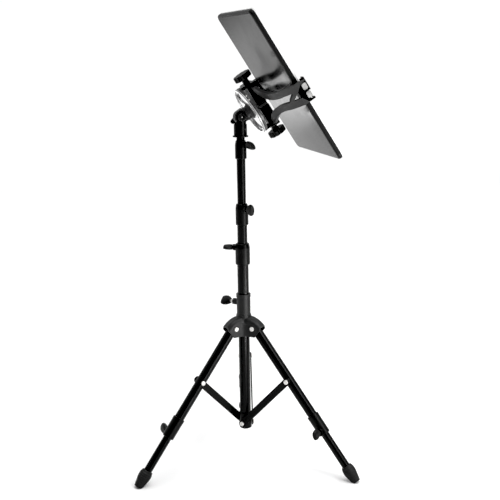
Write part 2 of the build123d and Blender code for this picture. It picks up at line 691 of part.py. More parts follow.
# Lower leg: the tube that slides in the upper leg
FOOT_START = LEG_LENGTH - FOOT_LENGTH
FOOT_END_AT = LEG_LENGTH - FOOT_END_SHORT
FOOT_SEAT = FOOT_START + FOOT_SOCKET
with BuildPart() as lower_leg:
    with BuildSketch(LEG_PLANE.offset(LOWER_LEG_START)):
        Circle(LOWER_LEG_OD / 2)
        Circle(LOWER_LEG_OD / 2 - LEG_WALL, mode=Mode.SUBTRACT)
    extrude(amount=FOOT_SEAT - LOWER_LEG_START)
save_on_legs(lower_leg.part, "lower_leg")

# Foot: a rubber boot on the lower leg, cut flat where it stands on the floor
FOOT_PROFILE_PLANE = Plane(origin=LEG_PLANE.origin, x_dir=LEG_PLANE.x_dir, z_dir=LEG_PLANE.y_dir)
with BuildPart() as foot:
    with BuildSketch(FOOT_PROFILE_PLANE):
        with BuildLine():
            Polyline(
                (0, -FOOT_START),
                (FOOT_MOUTH_OD / 2, -FOOT_START),
                (FOOT_OD / 2, -FOOT_START - FOOT_SHOULDER),
                (FOOT_OD / 2, -FOOT_START - FOOT_SHOULDER - FOOT_STRAIGHT),
                (FOOT_END_OD / 2, -FOOT_END_AT),
                (0, -FOOT_END_AT),
                close=True,
            )
        make_face()
    revolve(axis=LEG_AXIS)
    with BuildSketch(LEG_PLANE.offset(FOOT_START)):
        Circle(LOWER_LEG_OD / 2 + SEAT_GAP)
    extrude(amount=FOOT_SOCKET, mode=Mode.SUBTRACT)
    with BuildSketch(Plane.XY):
        with Locations((PIVOT_RADIUS + LEG_LENGTH * sin(radians(LEG_SPREAD)), 0)):
            Rectangle(4 * FOOT_OD, 4 * FOOT_OD)
    extrude(amount=-FOOT_OD, mode=Mode.SUBTRACT)
save_on_legs(foot.part, "foot")

# Strut: a flat bar from the bracket's pin to the side of the leg
STRUT_TOP_R = PIVOT_RADIUS + STRUT_ON_LEG * sin(radians(LEG_SPREAD))
STRUT_TOP_Z = PIVOT_Z - STRUT_ON_LEG * cos(radians(LEG_SPREAD))
STRUT_LENGTH = hypot(STRUT_TOP_R, STRUT_TOP_Z - STRUT_FOOT_Z)
STRUT_TILT = degrees(atan2(STRUT_TOP_Z - STRUT_FOOT_Z, STRUT_TOP_R))
with BuildPart() as strut:
    with BuildSketch(Plane.XZ.offset(STRUT_INNER)):
        with Locations((STRUT_TOP_R / 2, (STRUT_TOP_Z + STRUT_FOOT_Z) / 2)):
            SlotCenterToCenter(STRUT_LENGTH, STRUT_WIDTH, rotation=STRUT_TILT)
        with Locations((0, STRUT_FOOT_Z)):
            Circle(PIN_OD / 2 + SLIDE_GAP, mode=Mode.SUBTRACT)
        with Locations((STRUT_TOP_R, STRUT_TOP_Z)):
            Circle(PIN_OD / 2 + SEAT_GAP, mode=Mode.SUBTRACT)
    extrude(amount=STRUT_THICK)
save_on_legs(strut.part, "strut")
save_on_legs(rivet(STRUT_ON_LEG_PLANE, STRUT_INNER, STRUT_OUTER), "strut_rivet")

# Head post: a spigot in the top collar, a flanged body and a fork for the neck
with BuildPart() as head_post:
    with BuildSketch(Plane.XY.offset(POST_BASE)):
        Circle(POST_OD / 2)
    extrude(amount=POST_HEIGHT + POST_OD)
    with BuildSketch(Plane.YZ):
        with Locations((0, TILT_Z)):
            Circle(EAR_OD / 2)
        with Locations((0, TILT_Z - POST_HEIGHT)):
            Rectangle(EAR_OD, 2 * POST_HEIGHT)
        with Locations((0, TILT_Z - EAR_SHOULDER - POST_HEIGHT)):
            Rectangle(POST_OD, 2 * POST_HEIGHT)
    extrude(amount=POST_OD, both=True, mode=Mode.INTERSECT)
    with BuildSketch(Plane.XY.offset(POST_BASE)):
        Circle(POST_FLANGE_OD / 2)
    extrude(amount=POST_FLANGE_HEIGHT)
    with BuildSketch(Plane.XY.offset(TOP_COLLAR_TOP - COLLAR_LIP + SIDE_GAP)):
        Circle(SPIGOT_OD / 2)
    extrude(amount=SPIGOT_SHOWN + COLLAR_LIP)
    with BuildSketch(Plane.XY.offset(TILT_Z - FORK_DEPTH)):
        Rectangle(FORK_SLOT, 2 * POST_OD)
    extrude(amount=FORK_DEPTH + POST_OD, mode=Mode.SUBTRACT)
    with BuildSketch(SIDE_PLANE):
        Circle(TILT_PIN_OD / 2 + SEAT_GAP)
    extrude(amount=POST_OD, both=True, mode=Mode.SUBTRACT)
save(head_post.part, "head_post")

# Tilt bolt through the fork: head with a hexagon socket on one side, wing nut on the other
NUT_SEAT = POST_OD / 2 + SIDE_GAP
BOLT_SOCKET = TILT_HEAD_HEIGHT / 2
with BuildPart() as tilt_bolt:
    with BuildSketch(SIDE_PLANE.offset(-POST_OD / 2 - TILT_HEAD_HEIGHT)):
        Circle(TILT_HEAD_OD / 2)
    extrude(amount=TILT_HEAD_HEIGHT)
    fillet(tilt_bolt.edges().group_by(Axis.X)[0], BOLT_SOCKET * 0.6)
    with BuildSketch(SIDE_PLANE.offset(-POST_OD / 2 - TILT_HEAD_HEIGHT)):
        RegularPolygon(TILT_PIN_OD / 2, 6)
    extrude(amount=BOLT_SOCKET, mode=Mode.SUBTRACT)
    with BuildSketch(SIDE_PLANE.offset(-POST_OD / 2)):
        Circle(TILT_PIN_OD / 2)
    extrude(amount=POST_OD + 2 * TILT_WING_THICK)
save(tilt_bolt.part, "tilt_bolt")

NUT_HEIGHT = 2 * TILT_WING_THICK
with BuildPart() as tilt_nut:
    with BuildSketch(Plane.YZ.offset(NUT_SEAT)):
        with Locations((0, TILT_Z)):
            Circle(TILT_NUT_OD / 2)
    extrude(amount=NUT_HEIGHT)
    with BuildSketch(Plane.YZ.offset(NUT_SEAT + TILT_WING_THICK / 2)):
        with Locations((0, TILT_Z)):
            SlotOverall(TILT_WING_SPAN, TILT_WING_HEIGHT, rotation=TILT_WING_ANGLE)
    extrude(amount=TILT_WING_THICK)
    with BuildSketch(SIDE_PLANE):
        Circle(TILT_PIN_OD / 2 + SLIDE_GAP)
    extrude(amount=NUT_SEAT + NUT_HEIGHT, mode=Mode.SUBTRACT)
save(tilt_nut.part, "tilt_nut")

# Neck: a tongue in the fork, a round body that flares to the disc and the pin the disc turns on
NECK_END = DISC_BACK - SLIDE_GAP
TURN_PIN_END = DISC_FRONT + SLIDE_GAP + TURN_NUT_HEIGHT
with BuildPart() as neck:
    with BuildSketch(SIDE_PLANE):
        Circle(TONGUE_OD / 2)
        with Locations((NECK_START / 2, 0)):
            Rectangle(NECK_START, TONGUE_OD)
    extrude(amount=TONGUE_WIDTH / 2, both=True)
    with BuildSketch(CLAMP_PLANE.offset(NECK_START)):
        Circle(NECK_OD / 2)
    extrude(amount=NECK_FLARE_AT - NECK_START)
    with BuildSketch(CLAMP_PLANE.offset(NECK_FLARE_AT)):
        Circle(NECK_OD / 2)
    with BuildSketch(CLAMP_PLANE.offset(NECK_END)):
        Circle(NECK_FLARE_OD / 2)
    loft()
    with BuildSketch(CLAMP_PLANE.offset(NECK_END)):
        Circle(TURN_PIN_OD / 2)
    extrude(amount=TURN_PIN_END - NECK_END)
    with BuildSketch(SIDE_PLANE):
        Circle(TILT_PIN_OD / 2 + SLIDE_GAP)
    extrude(amount=POST_OD, both=True, mode=Mode.SUBTRACT)
save(neck.part, "neck")

with BuildPart() as turn_nut:
    with BuildSketch(CLAMP_PLANE.offset(DISC_FRONT + SLIDE_GAP)):
        RegularPolygon(TURN_NUT_OD / 2, 6)
        Circle(TURN_PIN_OD / 2 + SEAT_GAP, mode=Mode.SUBTRACT)
    extrude(amount=TURN_NUT_HEIGHT)
save(turn_nut.part, "turn_nut")

# Turning disc: a web with two oval windows inside a deeper grooved rim
RIM_BACK = DISC_FRONT - DISC_RIM_DEPTH
GROOVE_BACK = RIM_BACK + (DISC_RIM_DEPTH - DISC_GROOVE_WIDTH) / 2
with BuildPart() as turn_disc:
    with BuildSketch(CLAMP_PLANE.offset(DISC_BACK)):
        Circle(DISC_OD / 2)
        with Locations((0, DISC_WINDOW_OUT), (0, -DISC_WINDOW_OUT)):
            Ellipse(DISC_WINDOW_LENGTH / 2, DISC_WINDOW_WIDTH / 2, mode=Mode.SUBTRACT)
        Circle(TURN_PIN_OD / 2 + SLIDE_GAP, mode=Mode.SUBTRACT)
    extrude(amount=DISC_THICK)
    with BuildSketch(CLAMP_PLANE.offset(RIM_BACK)):
        Circle(DISC_OD / 2)
        Circle(DISC_OD / 2 - DISC_RIM, mode=Mode.SUBTRACT)
    extrude(amount=DISC_RIM_DEPTH)
    with BuildSketch(CLAMP_PLANE.offset(GROOVE_BACK)):
        Circle(DISC_OD / 2)
        Circle(DISC_OD / 2 - DISC_GROOVE, mode=Mode.SUBTRACT)
    extrude(amount=DISC_GROOVE_WIDTH, mode=Mode.SUBTRACT)
save(turn_disc.part, "turn_disc")

# Half of the clamp block, with a channel for the jaw tongues, a lug on the disc and a knob's hole
HALF_LENGTH = (BLOCK_LENGTH - RAIL_THICK) / 2
KNOB_PLANE = Plane(
    origin=CLAMP_CENTRE + FORWARD * TONGUE_FORWARD + UP_PANEL * (BLOCK_LENGTH / 2),
    x_dir=ACROSS,
    z_dir=UP_PANEL,
)
CHANNEL_PLANE = Plane(origin=CLAMP_CENTRE, x_dir=FORWARD, z_dir=-ACROSS)
with BuildPart() as clamp_upper:
    with BuildSketch(CLAMP_PLANE.offset(BLOCK_BACK)):
        with Locations((0, (RAIL_THICK + HALF_LENGTH) / 2)):
            RectangleRounded(BLOCK_WIDTH, HALF_LENGTH, BLOCK_FILLET)
    extrude(amount=BLOCK_THICK)
    with BuildSketch(CLAMP_PLANE.offset(DISC_FRONT)):
        with Locations((0, (BLOCK_LENGTH - LUG_LENGTH) / 2)):
            Rectangle(LUG_WIDTH, LUG_LENGTH)
    extrude(amount=BLOCK_BACK - DISC_FRONT)
    with BuildSketch(CHANNEL_PLANE):
        with Locations((TONGUE_FORWARD, TONGUE_OUT)):
            Rectangle(ARM_THICK + 2 * SLIDE_GAP, TONGUE_HEIGHT + 2 * SLIDE_GAP)
    extrude(amount=BLOCK_WIDTH, both=True, mode=Mode.SUBTRACT)
    with BuildSketch(KNOB_PLANE):
        Circle(KNOB_STUD_OD / 2 + SLIDE_GAP)
    extrude(amount=TONGUE_OUT - BLOCK_LENGTH / 2, mode=Mode.SUBTRACT)
save(clamp_upper.part, "clamp_upper")
save(clamp_upper.part.mirror(CLAMP_MIDDLE), "clamp_lower")

with BuildPart() as clamp_rail:
    with BuildSketch(CLAMP_PLANE.offset(BLOCK_BACK + BLOCK_FILLET / 2)):
        Rectangle(BLOCK_WIDTH + BLOCK_FILLET / 2, RAIL_THICK)
    extrude(amount=BLOCK_THICK - BLOCK_FILLET)
save(clamp_rail.part, "clamp_rail")

# Clamp knob: a stud in the block, a stem and a fluted grip
with BuildPart() as clamp_knob:
    with BuildSketch(KNOB_PLANE.offset(KNOB_STEM_LENGTH)):
        Circle(KNOB_OD / 2)
    extrude(amount=KNOB_THICK)
    fillet(clamp_knob.edges(), KNOB_FILLET)
    with BuildSketch(KNOB_PLANE.offset(KNOB_STEM_LENGTH)):
        with PolarLocations(KNOB_OD / 2, KNOB_FLUTES):
            Circle(KNOB_FLUTE_OD / 2)
    extrude(amount=KNOB_THICK, mode=Mode.SUBTRACT)
    with BuildSketch(KNOB_PLANE.offset(SIDE_GAP)):
        Circle(KNOB_STEM_OD / 2)
    extrude(amount=KNOB_STEM_LENGTH - SIDE_GAP)
    with BuildSketch(KNOB_PLANE.offset(-KNOB_STUD_LENGTH)):
        Circle(KNOB_STUD_OD / 2)
    extrude(amount=KNOB_STUD_LENGTH + KNOB_STEM_LENGTH)
save(clamp_knob.part, "clamp_knob_upper")
save(clamp_knob.part.mirror(CLAMP_MIDDLE), "clamp_knob_lower")

# Outline of the jaw arms: two arms from the front, and from the side a slanting web and two tips
ARM_START = BLOCK_WIDTH / 2 + SIDE_GAP
ARM_INSIDE = ARM_WAIST_OUT - ARM_WIDTH / 2
ARM_OUTSIDE = ARM_WAIST_OUT + ARM_WIDTH / 2
with BuildPart() as arm_outline:
    with BuildSketch(CLAMP_PLANE):
        with BuildLine():
            Line((TONGUE_GAP / 2, TONGUE_OUT), (ARM_START + ARM_WIDTH / 2, TONGUE_OUT))
        trace(line_width=TONGUE_HEIGHT)
        with BuildLine():
            ThreePointArc(
                (ARM_START + ARM_WIDTH / 2, TONGUE_OUT),
                (ARM_BEND_REACH, ARM_BEND_OUT),
                (ARM_WAIST_REACH, ARM_WAIST_OUT),
            )
            Line((ARM_WAIST_REACH, ARM_WAIST_OUT), (ARM_END_REACH + ARM_WIDTH, ARM_WAIST_OUT))
        trace(line_width=ARM_WIDTH)
        mirror(about=Plane.XZ)
    extrude(amount=HOOK_BACK_FACE)
    with BuildSketch(EDGE_PLANE.offset(ARM_WAIST_REACH)):
        with BuildLine():
            Polyline(
                (ARM_WAIST_OUT, WEB_BACK),
                (ARM_WAIST_OUT, HOOK_BACK_FACE),
                (ARM_INSIDE, HOOK_BACK_FACE),
                (-WEB_LOW_OUT, WEB_LOW_BACK + WEB_LOW_WIDTH),
                (-WEB_LOW_OUT, WEB_LOW_BACK),
                close=True,
            )
        make_face()
    extrude(amount=ARM_END_REACH + ARM_WIDTH - ARM_WAIST_REACH)
    with BuildSketch(EDGE_PLANE.offset(HOOK_OUTER + SEAT_GAP)):
        with BuildLine():
            Polyline(
                (ARM_OUTSIDE, HOOK_BACK_FACE),
                (ARM_OUTSIDE, TIP_SHOULDER),
                (TIP_OUT + TIP_WIDTH / 2, TIP_END),
                (TIP_OUT - TIP_WIDTH / 2, TIP_END),
                (ARM_WAIST_OUT, WEB_FRONT),
                (ARM_INSIDE, HOOK_BACK_FACE),
                close=True,
            )
        make_face()
        with BuildLine():
            Polyline(
                (-ARM_INSIDE, HOOK_BACK_FACE),
                (-ARM_OUTSIDE, HOOK_BACK_FACE),
                (-ARM_OUTSIDE, TIP_SHOULDER),
                close=True,
            )
        make_face()
    extrude(amount=ARM_THICK)

# Jaw arms: a curved band that ends flat against the side of the hook, cut to that outline
with BuildPart() as far_arms:
    with BuildSketch(ARM_PLANE):
        with BuildLine():
            Line((TONGUE_GAP / 2, TONGUE_FORWARD), (ARM_START, TONGUE_FORWARD))
            ThreePointArc(
                (ARM_START, TONGUE_FORWARD),
                (ARM_MID_REACH, TONGUE_FORWARD + ARM_MID_RISE),
                (ARM_END_REACH, HOOK_BACK_FACE),
            )
            Line((ARM_END_REACH, HOOK_BACK_FACE), (ARM_END_REACH, LIP_FRONT_FACE))
        trace(line_width=ARM_THICK)
    extrude(amount=BLOCK_LENGTH, both=True)
    add(arm_outline.part, mode=Mode.INTERSECT)
save(far_arms.part, "far_arms")
save(far_arms.part.mirror(Plane.YZ), "near_arms")

# Hook: a wall beside the edge of the panel, with a back plate, a front lip, fingers and pad windows
HOOK_HALF = HOOK_LENGTH / 2
HOOK_TOP = HOOK_HALF - HOOK_TOP_DROP
FINGER_ROOT = HOOK_HALF - FINGER_WIDTH
FINGER_BACK = LIP_FRONT_FACE - FINGER_LENGTH
PAD_PLACES = [(PAD_MIDDLE + PAD_PITCH / 2, PAD_FORWARD), (PAD_MIDDLE - PAD_PITCH / 2, PAD_FORWARD)]
with BuildPart() as far_hook:
    with BuildSketch(EDGE_PLANE.offset(HOOK_INNER)):
        with BuildLine():
            Polyline(
                (-HOOK_HALF, HOOK_BACK_FACE),
                (-HOOK_HALF, LIP_FRONT_FACE),
                (-FINGER_ROOT, LIP_FRONT_FACE),
                (-FINGER_ROOT, PAD_FORWARD),
                (LIP_END, PAD_FORWARD),
                (LIP_END, LIP_FRONT_FACE),
                (HOOK_HALF, LIP_FRONT_FACE),
                (HOOK_HALF, FINGER_BACK),
                (FINGER_ROOT, FINGER_BACK),
                (FINGER_ROOT, LIP_BACK_FACE),
                (LIP_ROOT, LIP_BACK_FACE),
                (HOOK_TOP, TIP_SHOULDER),
                (HOOK_TOP, HOOK_BACK_FACE),
                close=True,
            )
        make_face()
    extrude(amount=HOOK_WALL)
    with BuildSketch(EDGE_PLANE.offset(HOOK_OUTER)):
        with BuildLine():
            Polyline(
                (-HOOK_HALF, HOOK_BACK_FACE),
                (HOOK_TOP, HOOK_BACK_FACE),
                (HOOK_TOP, HOOK_FRONT_FACE),
                (-HOOK_HALF, HOOK_FRONT_FACE),
                close=True,
            )
        make_face()
    extrude(amount=-HOOK_BACK_LIP)
    with BuildSketch(EDGE_PLANE.offset(HOOK_OUTER)):
        with Locations(((LIP_END + HOOK_HALF) / 2, LIP_FRONT_FACE - LIP_THICK / 2)):
            Rectangle(HOOK_HALF - LIP_END, LIP_THICK)
        with Locations((-HOOK_HALF + FINGER_WIDTH / 2, LIP_FRONT_FACE - LIP_THICK / 2)):
            Rectangle(FINGER_WIDTH, LIP_THICK)
    extrude(amount=-HOOK_LIP)
    with BuildSketch(EDGE_PLANE.offset(PAD_INNER)):
        with Locations(PAD_PLACES):
            RectangleRounded(PAD_LENGTH + 2 * SEAT_GAP, PAD_HEIGHT + 2 * SEAT_GAP, BLOCK_FILLET)
    extrude(amount=PAD_THICK + 2 * HOOK_WALL, mode=Mode.SUBTRACT)
save(far_hook.part, "far_hook")
save(far_hook.part.mirror(Plane.YZ), "near_hook")

# Pads: two soft blocks in the windows of the hook
with BuildPart() as far_pads:
    with BuildSketch(EDGE_PLANE.offset(PAD_INNER)):
        with Locations(PAD_PLACES):
            RectangleRounded(PAD_LENGTH, PAD_HEIGHT, BLOCK_FILLET)
    extrude(amount=PAD_THICK + HOOK_WALL + PAD_PROUD)
save(far_pads.part, "far_pads")
save(far_pads.part.mirror(Plane.YZ), "near_pads")

# Panel: a shell with a rounded back edge and a flat face in front
with BuildPart() as panel_shell:
    with BuildSketch(PANEL_PLANE.offset(PANEL_BACK)):
        RectangleRounded(PANEL_WIDTH, PANEL_LENGTH, PANEL_CORNER)
    extrude(amount=PANEL_SHELL_THICK)
    fillet(panel_shell.faces().sort_by(Axis(CLAMP_CENTRE, FORWARD))[0].edges(), PANEL_BACK_FILLET)
save(panel_shell.part, "panel_shell")

with BuildPart() as panel_face:
    with BuildSketch(PANEL_PLANE.offset(PANEL_SEAM)):
        RectangleRounded(PANEL_WIDTH, PANEL_LENGTH, PANEL_CORNER)
    extrude(amount=PANEL_FACE_THICK)
save(panel_face.part, "panel_face")
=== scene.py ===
import json
import math

import bmesh
import bpy
from mathutils import Matrix, Vector


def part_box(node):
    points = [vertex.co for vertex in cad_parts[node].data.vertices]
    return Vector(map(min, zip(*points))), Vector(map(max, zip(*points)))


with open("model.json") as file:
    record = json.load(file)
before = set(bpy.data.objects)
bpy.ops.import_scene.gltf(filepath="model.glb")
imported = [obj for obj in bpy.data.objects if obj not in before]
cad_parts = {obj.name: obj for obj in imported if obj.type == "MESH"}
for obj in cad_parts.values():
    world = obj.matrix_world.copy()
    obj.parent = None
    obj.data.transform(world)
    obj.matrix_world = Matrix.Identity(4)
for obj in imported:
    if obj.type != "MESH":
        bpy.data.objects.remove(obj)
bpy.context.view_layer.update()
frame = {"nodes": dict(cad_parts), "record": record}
nodes = frame["nodes"]
scene = bpy.context.scene
MM = 0.001

# Directions of the panel, the mast and the legs, as in the CAD model
ACROSS = Vector((1.0, 0.0, 0.0))
FORWARD = Vector((0.0, -0.843391, 0.5373))
UP_PANEL = Vector((0.0, 0.5373, 0.843391))
UP = Vector((0.0, 0.0, 1.0))
LEG_SPREAD = math.radians(37.8)
LEG_AXES = [
    Vector((
        math.sin(LEG_SPREAD) * math.cos(math.radians(angle)),
        math.sin(LEG_SPREAD) * math.sin(math.radians(angle)),
        -math.cos(LEG_SPREAD),
    ))
    for angle in (-14.5, 105.5, 225.5)
]


def middle(node):
    low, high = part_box(node)
    return (Vector(low) + Vector(high)) / 2


WHITE = (1.0, 1.0, 1.0)


def grey(value, tint=WHITE):
    return (value * tint[0], value * tint[1], value * tint[2], 1.0)


# Short ways to add shader nodes to a tree
class Nodes:
    def __init__(self, tree):
        self.tree = tree

    def put(self, socket, value):
        if isinstance(value, bpy.types.NodeSocket):
            self.tree.links.new(value, socket)
        else:
            socket.default_value = value

    def node(self, kind, **inputs):
        made = self.tree.nodes.new(kind)
        for key, value in inputs.items():
            self.put(made.inputs[key.replace("_", " ")], value)
        return made

    def operate(self, kind, operation, first, second=None):
        made = self.tree.nodes.new(kind)
        made.operation = operation
        self.put(made.inputs[0], first)
        if second is not None:
            self.put(made.inputs[1], second)
        return made

    def math(self, operation, first, second=None):
        return self.operate("ShaderNodeMath", operation, first, second).outputs[0]

    def times(self, first, second):
        return self.math("MULTIPLY", first, second)

    def below(self, value, limit):
        return self.math("LESS_THAN", value, limit)

    def vector(self, operation, first, second=None):
        return self.operate("ShaderNodeVectorMath", operation, first, second)

    def dot(self, first, second):
        return self.vector("DOT_PRODUCT", first, second).outputs["Value"]

    def remap(self, value, low, high, to_low=0.0, to_high=1.0):
        made = self.node(
            "ShaderNodeMapRange", Value=value, From_Min=low, From_Max=high, To_Min=to_low, To_Max=to_high)
        return made.outputs["Result"]

    # A Mix node has a pair of sockets of its own for numbers and another for colours
    def mix(self, mask, first, second):
        made = self.tree.nodes.new("ShaderNodeMix")
        for index, value in ((0, mask), (2, first), (3, second)):
            self.put(made.inputs[index], value)
        return made.outputs[0]

    def mix_colour(self, mask, first, second):
        made = self.tree.nodes.new("ShaderNodeMix")
        made.data_type = "RGBA"
        for index, value in ((0, mask), (6, first), (7, second)):
            self.put(made.inputs[index], value)
        return made.outputs[2]


# Cosines between the rounded and the true normal where the rubbed edge with its painted edge highlight
# starts and where it is full
WORN_AND_LIT_EDGE_BEND = (0.985, 0.9)
WORN_AND_LIT_EDGE_SCALE = 240.0
WORN_AND_LIT_EDGE_PATCHES = (0.35, 0.6)
WORN_AND_LIT_EDGE_ROUGHNESS = 0.42
# Streaks are a fine noise that is pressed flat along its axis
STREAK_SCALE = 900.0
STREAK_FLATTENING = 0.96
STREAK_CONTRAST = (0.35, 0.65)


# A procedural material round one Principled BSDF
class Shader(Nodes):
    def __init__(self, name):
        self.material = bpy.data.materials.new(name)
        self.material.use_nodes = True
        super().__init__(self.material.node_tree)
        self.bsdf = self.tree.nodes["Principled BSDF"]
        coords = self.tree.nodes.new("ShaderNodeTexCoord")
        self.place = coords.outputs["Object"]
        self.facing = coords.outputs["Normal"]

    def noise(self, scale, detail=3.0, roughness=0.55):
        made = self.node(
            "ShaderNodeTexNoise", Vector=self.place, Scale=scale, Detail=detail, Roughness=roughness)
        return made.outputs["Fac"]

    def coat(self, colour, roughness):
        self.colour = colour
        self.roughness = roughness
        self.put(self.bsdf.inputs["Base Color"], colour)
        self.put(self.bsdf.inputs["Roughness"], roughness)

    # Another finish laid over the surface where the mask is 1
    def overlay(self, mask, colour, roughness, metallic=None):
        self.coat(self.mix_colour(mask, self.colour, colour), self.mix(mask, self.roughness, roughness))
        if metallic is not None:
            self.put(self.bsdf.inputs["Metallic"], self.remap(mask, 0.0, 1.0, self.metallic, metallic))

    # Rubbed edges that are also a painted edge highlight: a lighter tone where the rounded normal leaves the
    # true one, broken up by noise
    def wear_and_edge_highlight(self, tone):
        true_normal = self.node("ShaderNodeNewGeometry").outputs["Normal"]
        bend = self.dot(self.edge.outputs["Normal"], true_normal)
        patches = self.remap(self.noise(WORN_AND_LIT_EDGE_SCALE, detail=4.0), *WORN_AND_LIT_EDGE_PATCHES)
        self.overlay(self.times(self.remap(bend, *WORN_AND_LIT_EDGE_BEND), patches), grey(tone), WORN_AND_LIT_EDGE_ROUGHNESS)

    # Drawn streaks in the gloss along an axis
    def streaks(self, axis, gloss):
        run = self.vector("SCALE", axis)
        self.put(run.inputs["Scale"], self.times(self.dot(self.place, axis), STREAK_FLATTENING))
        flat = self.vector("SUBTRACT", self.place, run.outputs[0]).outputs[0]
        lines = self.node("ShaderNodeTexNoise", Vector=flat, Scale=STREAK_SCALE, Detail=3.0)
        self.coat(self.colour, self.remap(lines.outputs["Fac"], *STREAK_CONTRAST, *gloss))

    # Follows how squarely the surface looks along an axis: 0 at one cosine, 1 at the other
    def squareness(self, axis, low, high):
        return self.remap(self.math("ABSOLUTE", self.dot(self.facing, axis)), low, high)

    # How far a place lies along an axis from a point, and how far off that axis
    def along(self, point, axis):
        return self.dot(self.vector("SUBTRACT", self.place, point).outputs[0], axis)

    def off_axis(self, point, axis):
        arm = self.vector("SUBTRACT", self.place, point).outputs[0]
        return self.vector("LENGTH", self.vector("CROSS_PRODUCT", arm, axis).outputs[0]).outputs["Value"]


# Noise values between these two are stretched to full contrast
CONTRAST = (0.3, 0.7)
GLOSS_FINENESS = 3.1
GRAIN_DEPTH = 0.2 * MM


# A coated or moulded surface: mottled colour, uneven gloss, fine grain, and edges softened by a radius in mm
def surface(name, dark, light, gloss, grain, mottle=60.0, tint=WHITE, metallic=0.0, specular=0.5, edge=0.3):
    shader = Shader(name)
    patches = shader.remap(shader.noise(mottle, detail=4.0), *CONTRAST)
    colour = shader.mix_colour(patches, grey(dark, tint), grey(light, tint))
    sheen = shader.noise(mottle * GLOSS_FINENESS, detail=5.0, roughness=0.6)
    shader.coat(colour, shader.remap(sheen, *CONTRAST, *gloss))
    shader.metallic = metallic
    shader.bsdf.inputs["Metallic"].default_value = metallic
    shader.bsdf.inputs["Specular IOR Level"].default_value = specular
    shader.edge = shader.node("ShaderNodeBevel", Radius=edge * MM)
    scale, strength = grain
    shader.relief = shader.node(
        "ShaderNodeBump", Height=shader.noise(scale, detail=2.0), Strength=strength, Distance=GRAIN_DEPTH,
        Normal=shader.edge.outputs["Normal"])
    shader.put(shader.bsdf.inputs["Normal"], shader.relief.outputs["Normal"])
    return shader


def paint_surface(name):
    return surface(
        name, dark=0.0035, light=0.005, gloss=(0.2, 0.27), grain=(700.0, 0.02), mottle=30.0, specular=0.25)


# Painted tubes show drawn streaks along their length
def tube_surface(name, axis):
    shader = paint_surface(name)
    shader.streaks(axis, gloss=(0.18, 0.3))
    return shader


def knob_surface(name):
    shader = surface(name, dark=0.006, light=0.009, gloss=(0.32, 0.44), grain=(1600.0, 0.08), specular=0.25)
    # Rubbed edges, lightened also as a painted edge highlight
    shader.wear_and_edge_highlight(tone=0.04)
    return shader


def rubber_surface(name):
    return surface(
        name, dark=0.011, light=0.016, gloss=(0.5, 0.7), grain=(1300.0, 0.15), mottle=70.0,
        specular=0.25, edge=0.6)


NICKEL_TINT = (1.0, 0.985, 0.955)
NICKEL = grey(0.86, NICKEL_TINT)
LOOKS = {
    "black_tube": paint_surface("black_paint"),
    "black_plastic": surface(
        "black_moulding", dark=0.004, light=0.006, gloss=(0.26, 0.36), grain=(1500.0, 0.06), mottle=50.0,
        specular=0.25),
    "knob_plastic": knob_surface("black_knob"),
    "nickel": surface(
        "nickel_plate", dark=0.8, light=0.92, gloss=(0.16, 0.3), grain=(2200.0, 0.04), mottle=300.0,
        tint=NICKEL_TINT, metallic=0.55),
    "black_bolt": surface(
        "black_bolt", dark=0.005, light=0.009, gloss=(0.2, 0.32), grain=(1800.0, 0.06), mottle=200.0,
        specular=0.4),
    "silver_disc": surface(
        "silver_disc", dark=0.5, light=0.58, gloss=(0.26, 0.36), grain=(1500.0, 0.05), mottle=90.0,
        metallic=0.35),
    "block_plastic": surface(
        "block_black", dark=0.003, light=0.005, gloss=(0.22, 0.3), grain=(1600.0, 0.05), specular=0.14),
    "grey_plastic": surface(
        "arm_grey", dark=0.026, light=0.034, gloss=(0.32, 0.42), grain=(1500.0, 0.06), specular=0.35),
    "pale_rubber": surface(
        "pale_pad", dark=0.24, light=0.42, gloss=(0.5, 0.7), grain=(1100.0, 0.1), mottle=150.0,
        tint=(1.0, 0.995, 0.98)),
    "panel_back": surface(
        "panel_back", dark=0.036, light=0.048, gloss=(0.14, 0.2), grain=(2400.0, 0.008), mottle=14.0,
        specular=0.2),
    "panel_front": surface(
        "panel_front", dark=0.8, light=0.86, gloss=(0.2, 0.3), grain=(800.0, 0.01), mottle=30.0),
}

# Every node takes its slot's look, apart from the feet and the others that get their own below
SLOT_OF = {row["node"]: row["material_slot"] for row in frame["record"]["subparts"]}
LOOK_OF = {name: LOOKS.get(SLOT_OF[name]) for name in nodes}
mast_paint = tube_surface("mast_paint", UP)
for name in ("main_tube", "mid_tube", "top_tube"):
    LOOK_OF[name] = mast_paint
for number, leg in enumerate(LEG_AXES, 1):
    leg_paint = tube_surface(f"leg_paint_{number}", leg)
    LOOK_OF[f"upper_leg_{number}"] = leg_paint
    LOOK_OF[f"lower_leg_{number}"] = leg_paint

# The hub is a duller moulding than the collars
LOOK_OF["leg_hub"] = surface(
    "hub_moulding", dark=0.014, light=0.019, gloss=(0.34, 0.44), grain=(1400.0, 0.08), mottle=40.0,
    specular=0.3, edge=0.5)

